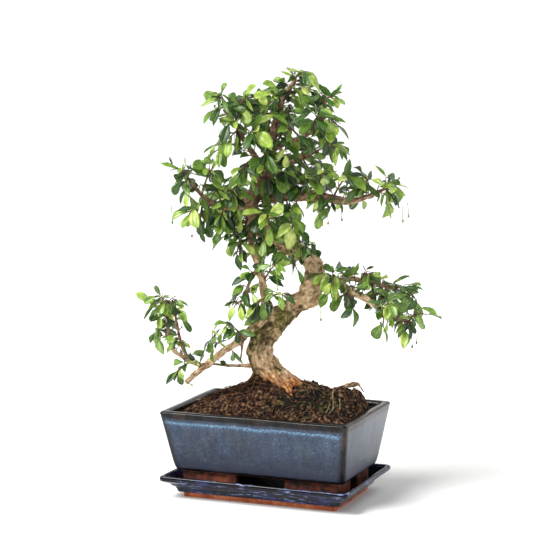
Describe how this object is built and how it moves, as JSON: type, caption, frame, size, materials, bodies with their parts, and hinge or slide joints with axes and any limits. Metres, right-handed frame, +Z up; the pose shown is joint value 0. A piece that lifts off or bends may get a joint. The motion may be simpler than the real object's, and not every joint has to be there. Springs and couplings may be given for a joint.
{
  "type": "potted bonsai tree",
  "caption": "Small bonsai tree with a crooked trunk and glossy spoon-shaped leaves, in a tapered glazed pot on a matching drip tray.",
  "frame": {"origin": "centre of the drip tray's flat underside", "axes": "+Z up, +X along the pot's long side to the right of its front, -Y out of the pot's long front face"},
  "size_m": [0.293, 0.1575, 0.4255],
  "materials": {
    "pot_glaze": "gloss glaze, mottled slate blue with a dark rim and bare terracotta feet",
    "tray_glaze": "gloss glaze, dark indigo, with a bare terracotta foot",
    "screen_plastic": "matte black",
    "soil": "matte, crumbly, with moss",
    "bark": "matte, rough bark",
    "leaf": "satin, waxy leaf"
  },
  "bodies": {
    "root": {"drip_tray": "tray_glaze", "pot": "pot_glaze", "drain_mesh_left": "screen_plastic", "drain_mesh_right": "screen_plastic", "soil": "soil", "bark_piece": "bark", "trunk_and_branches": "bark", "leafy_shoot_01": "leaf", "leafy_shoot_02": "leaf", "leafy_shoot_03": "leaf", "leafy_shoot_04": "leaf", "leafy_shoot_05": "leaf", "leafy_shoot_06": "leaf", "leafy_shoot_07": "leaf", "leafy_shoot_08": "leaf", "leafy_shoot_09": "leaf", "leafy_shoot_10": "leaf", "leafy_shoot_11": "leaf", "leafy_shoot_12": "leaf", "leafy_shoot_13": "leaf", "leafy_shoot_14": "leaf", "leafy_shoot_15": "leaf", "leafy_shoot_16": "leaf", "leafy_shoot_17": "leaf", "leafy_shoot_18": "leaf", "leafy_shoot_19": "leaf", "leafy_shoot_20": "leaf", "leafy_shoot_21": "leaf", "leafy_shoot_22": "leaf", "leafy_shoot_23": "leaf", "leafy_shoot_24": "leaf", "leafy_shoot_25": "leaf", "leafy_shoot_26": "leaf", "leafy_shoot_27": "leaf", "leafy_shoot_28": "leaf", "leafy_shoot_29": "leaf", "leafy_shoot_30": "leaf", "leafy_shoot_31": "leaf", "leafy_shoot_32": "leaf", "leafy_shoot_33": "leaf", "leafy_shoot_34": "leaf", "leafy_shoot_35": "leaf", "leafy_shoot_36": "leaf", "leafy_shoot_37": "leaf", "leafy_shoot_38": "leaf", "leafy_shoot_39": "leaf", "leafy_shoot_40": "leaf", "leafy_shoot_41": "leaf", "leafy_shoot_42": "leaf", "leafy_shoot_43": "leaf", "leafy_shoot_44": "leaf", "leafy_shoot_45": "leaf", "leafy_shoot_46": "leaf", "leafy_shoot_47": "leaf", "leafy_shoot_48": "leaf", "leafy_shoot_49": "leaf", "leafy_shoot_50": "leaf", "leafy_shoot_51": "leaf", "leafy_shoot_52": "leaf", "leafy_shoot_53": "leaf"}
  },
  "joints": []
}
